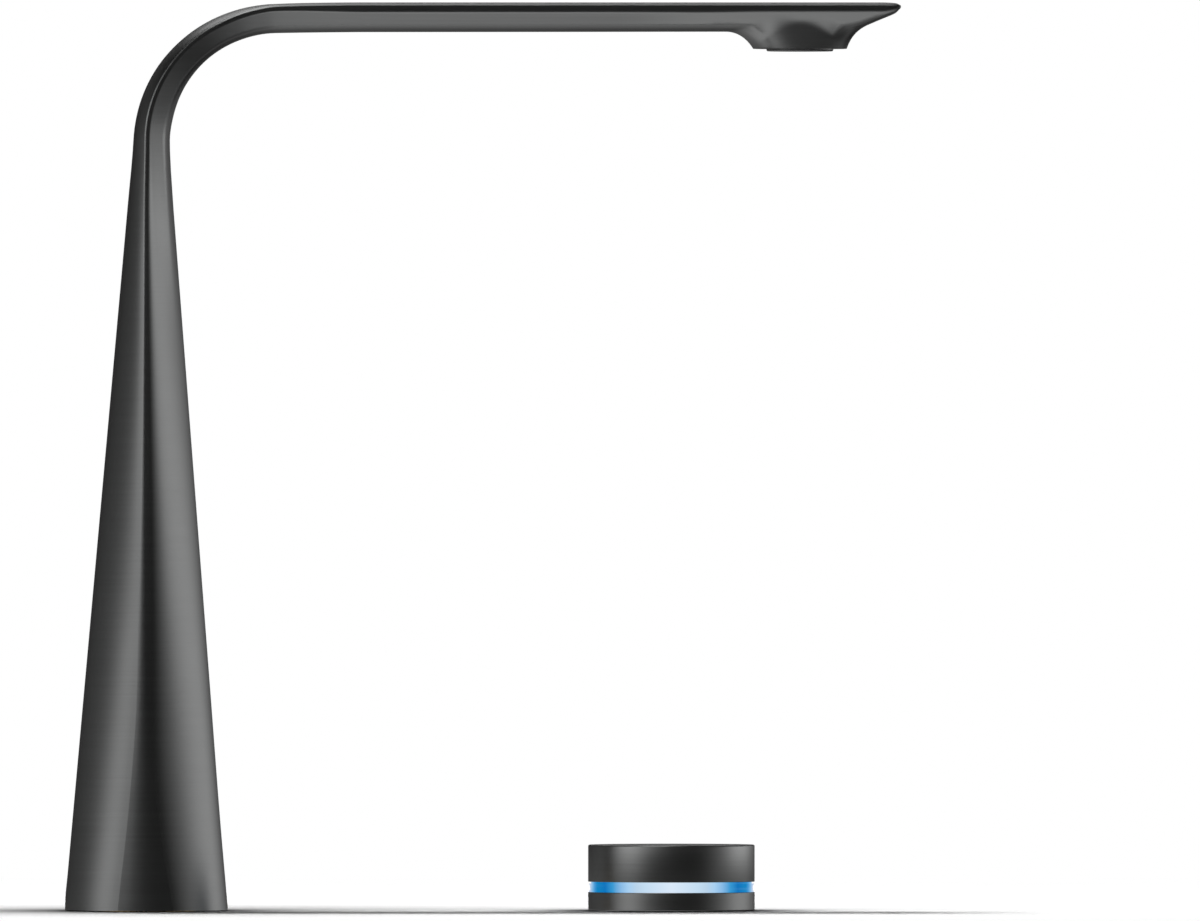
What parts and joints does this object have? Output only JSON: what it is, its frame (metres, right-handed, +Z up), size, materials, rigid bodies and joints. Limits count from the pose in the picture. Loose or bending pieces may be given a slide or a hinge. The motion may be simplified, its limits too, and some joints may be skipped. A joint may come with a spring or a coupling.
{
  "type": "basin tap",
  "caption": "Slim bent spout with a flat beak and a separate round dial with a light ring, turned to set the water and pressed to start it.",
  "frame": {"origin": "centre of the spout's foot, on the deck's top surface", "axes": "+X from the column to the outlet and the dial, +Y across the spout, +Z up"},
  "size_m": [0.2323, 0.048, 0.3277],
  "materials": {
    "dark_metal": "satin brushed, dark gunmetal coating",
    "brass": "machined brass",
    "copper_pipe": "drawn copper tube, stood in for by brass",
    "plated_brass": "nickel plated brass",
    "steel": "zinc plated or stainless steel",
    "black_rubber": "moulded rubber",
    "bright_housing": "bright plated plastic thread ring",
    "black_plastic": "moulded",
    "white_plastic": "moulded",
    "light_clear": "clear light-guide plastic, lit blue from inside",
    "board_green": "coated circuit board",
    "lamp_white": "moulded lamp body",
    "magnet": "plated ring magnet"
  },
  "bodies": {
    "tap": {"spout_body": "dark_metal", "foot_insert": "brass", "spout_deck_seal": "black_rubber", "threaded_shank": "brass", "spout_gasket": "black_rubber", "spout_washer": "steel", "spout_nut": "brass", "supply_nipple": "brass", "nipple_seals": "black_rubber", "supply_pipe": "copper_pipe", "pipe_guide": "black_plastic", "inlet_adaptor": "plated_brass", "compression_olive": "brass", "compression_nut": "plated_brass", "aerator_housing": "bright_housing", "outlet_plate": "black_plastic", "aerator_screen": "steel", "flow_regulator": "white_plastic", "regulator_ring": "black_rubber", "inlet_strainer": "white_plastic", "aerator_seal": "black_rubber", "dial_base": "dark_metal", "dial_deck_seal": "black_rubber", "dial_gasket": "black_rubber", "dial_washer": "steel", "dial_nut": "brass", "cable_gland": "black_rubber", "control_board": "board_green", "band_lamps": "lamp_white", "turn_sensors": "black_plastic", "press_switch": "black_plastic", "cable_socket": "white_plastic", "light_ring": "light_clear", "wiper_seal": "black_rubber", "dial_chassis": "black_plastic", "chassis_screws": "steel", "return_spring": "steel"},
    "carriage": {"press_carriage": "white_plastic", "thrust_washer": "white_plastic", "switch_plunger": "white_plastic"},
    "cap": {"dial_cap": "dark_metal", "dial_hub": "black_plastic", "magnet_ring": "magnet", "dial_spindle": "steel", "hub_screw": "steel", "spindle_clip": "steel"}
  },
  "joints": [
    {"name": "dial_press", "type": "slide", "parent": "tap", "child": "carriage", "axis": [0, 0, -1], "range_m": [0, 0.0005], "stiffness_N_per_m": 1200, "springref_m": -0.0025, "deforming": ["return_spring"]},
    {"name": "dial_turn", "type": "hinge", "parent": "carriage", "child": "cap", "pos_m": [0.145, 0, 0], "axis": [0, 0, 1], "continuous": true}
  ]
}
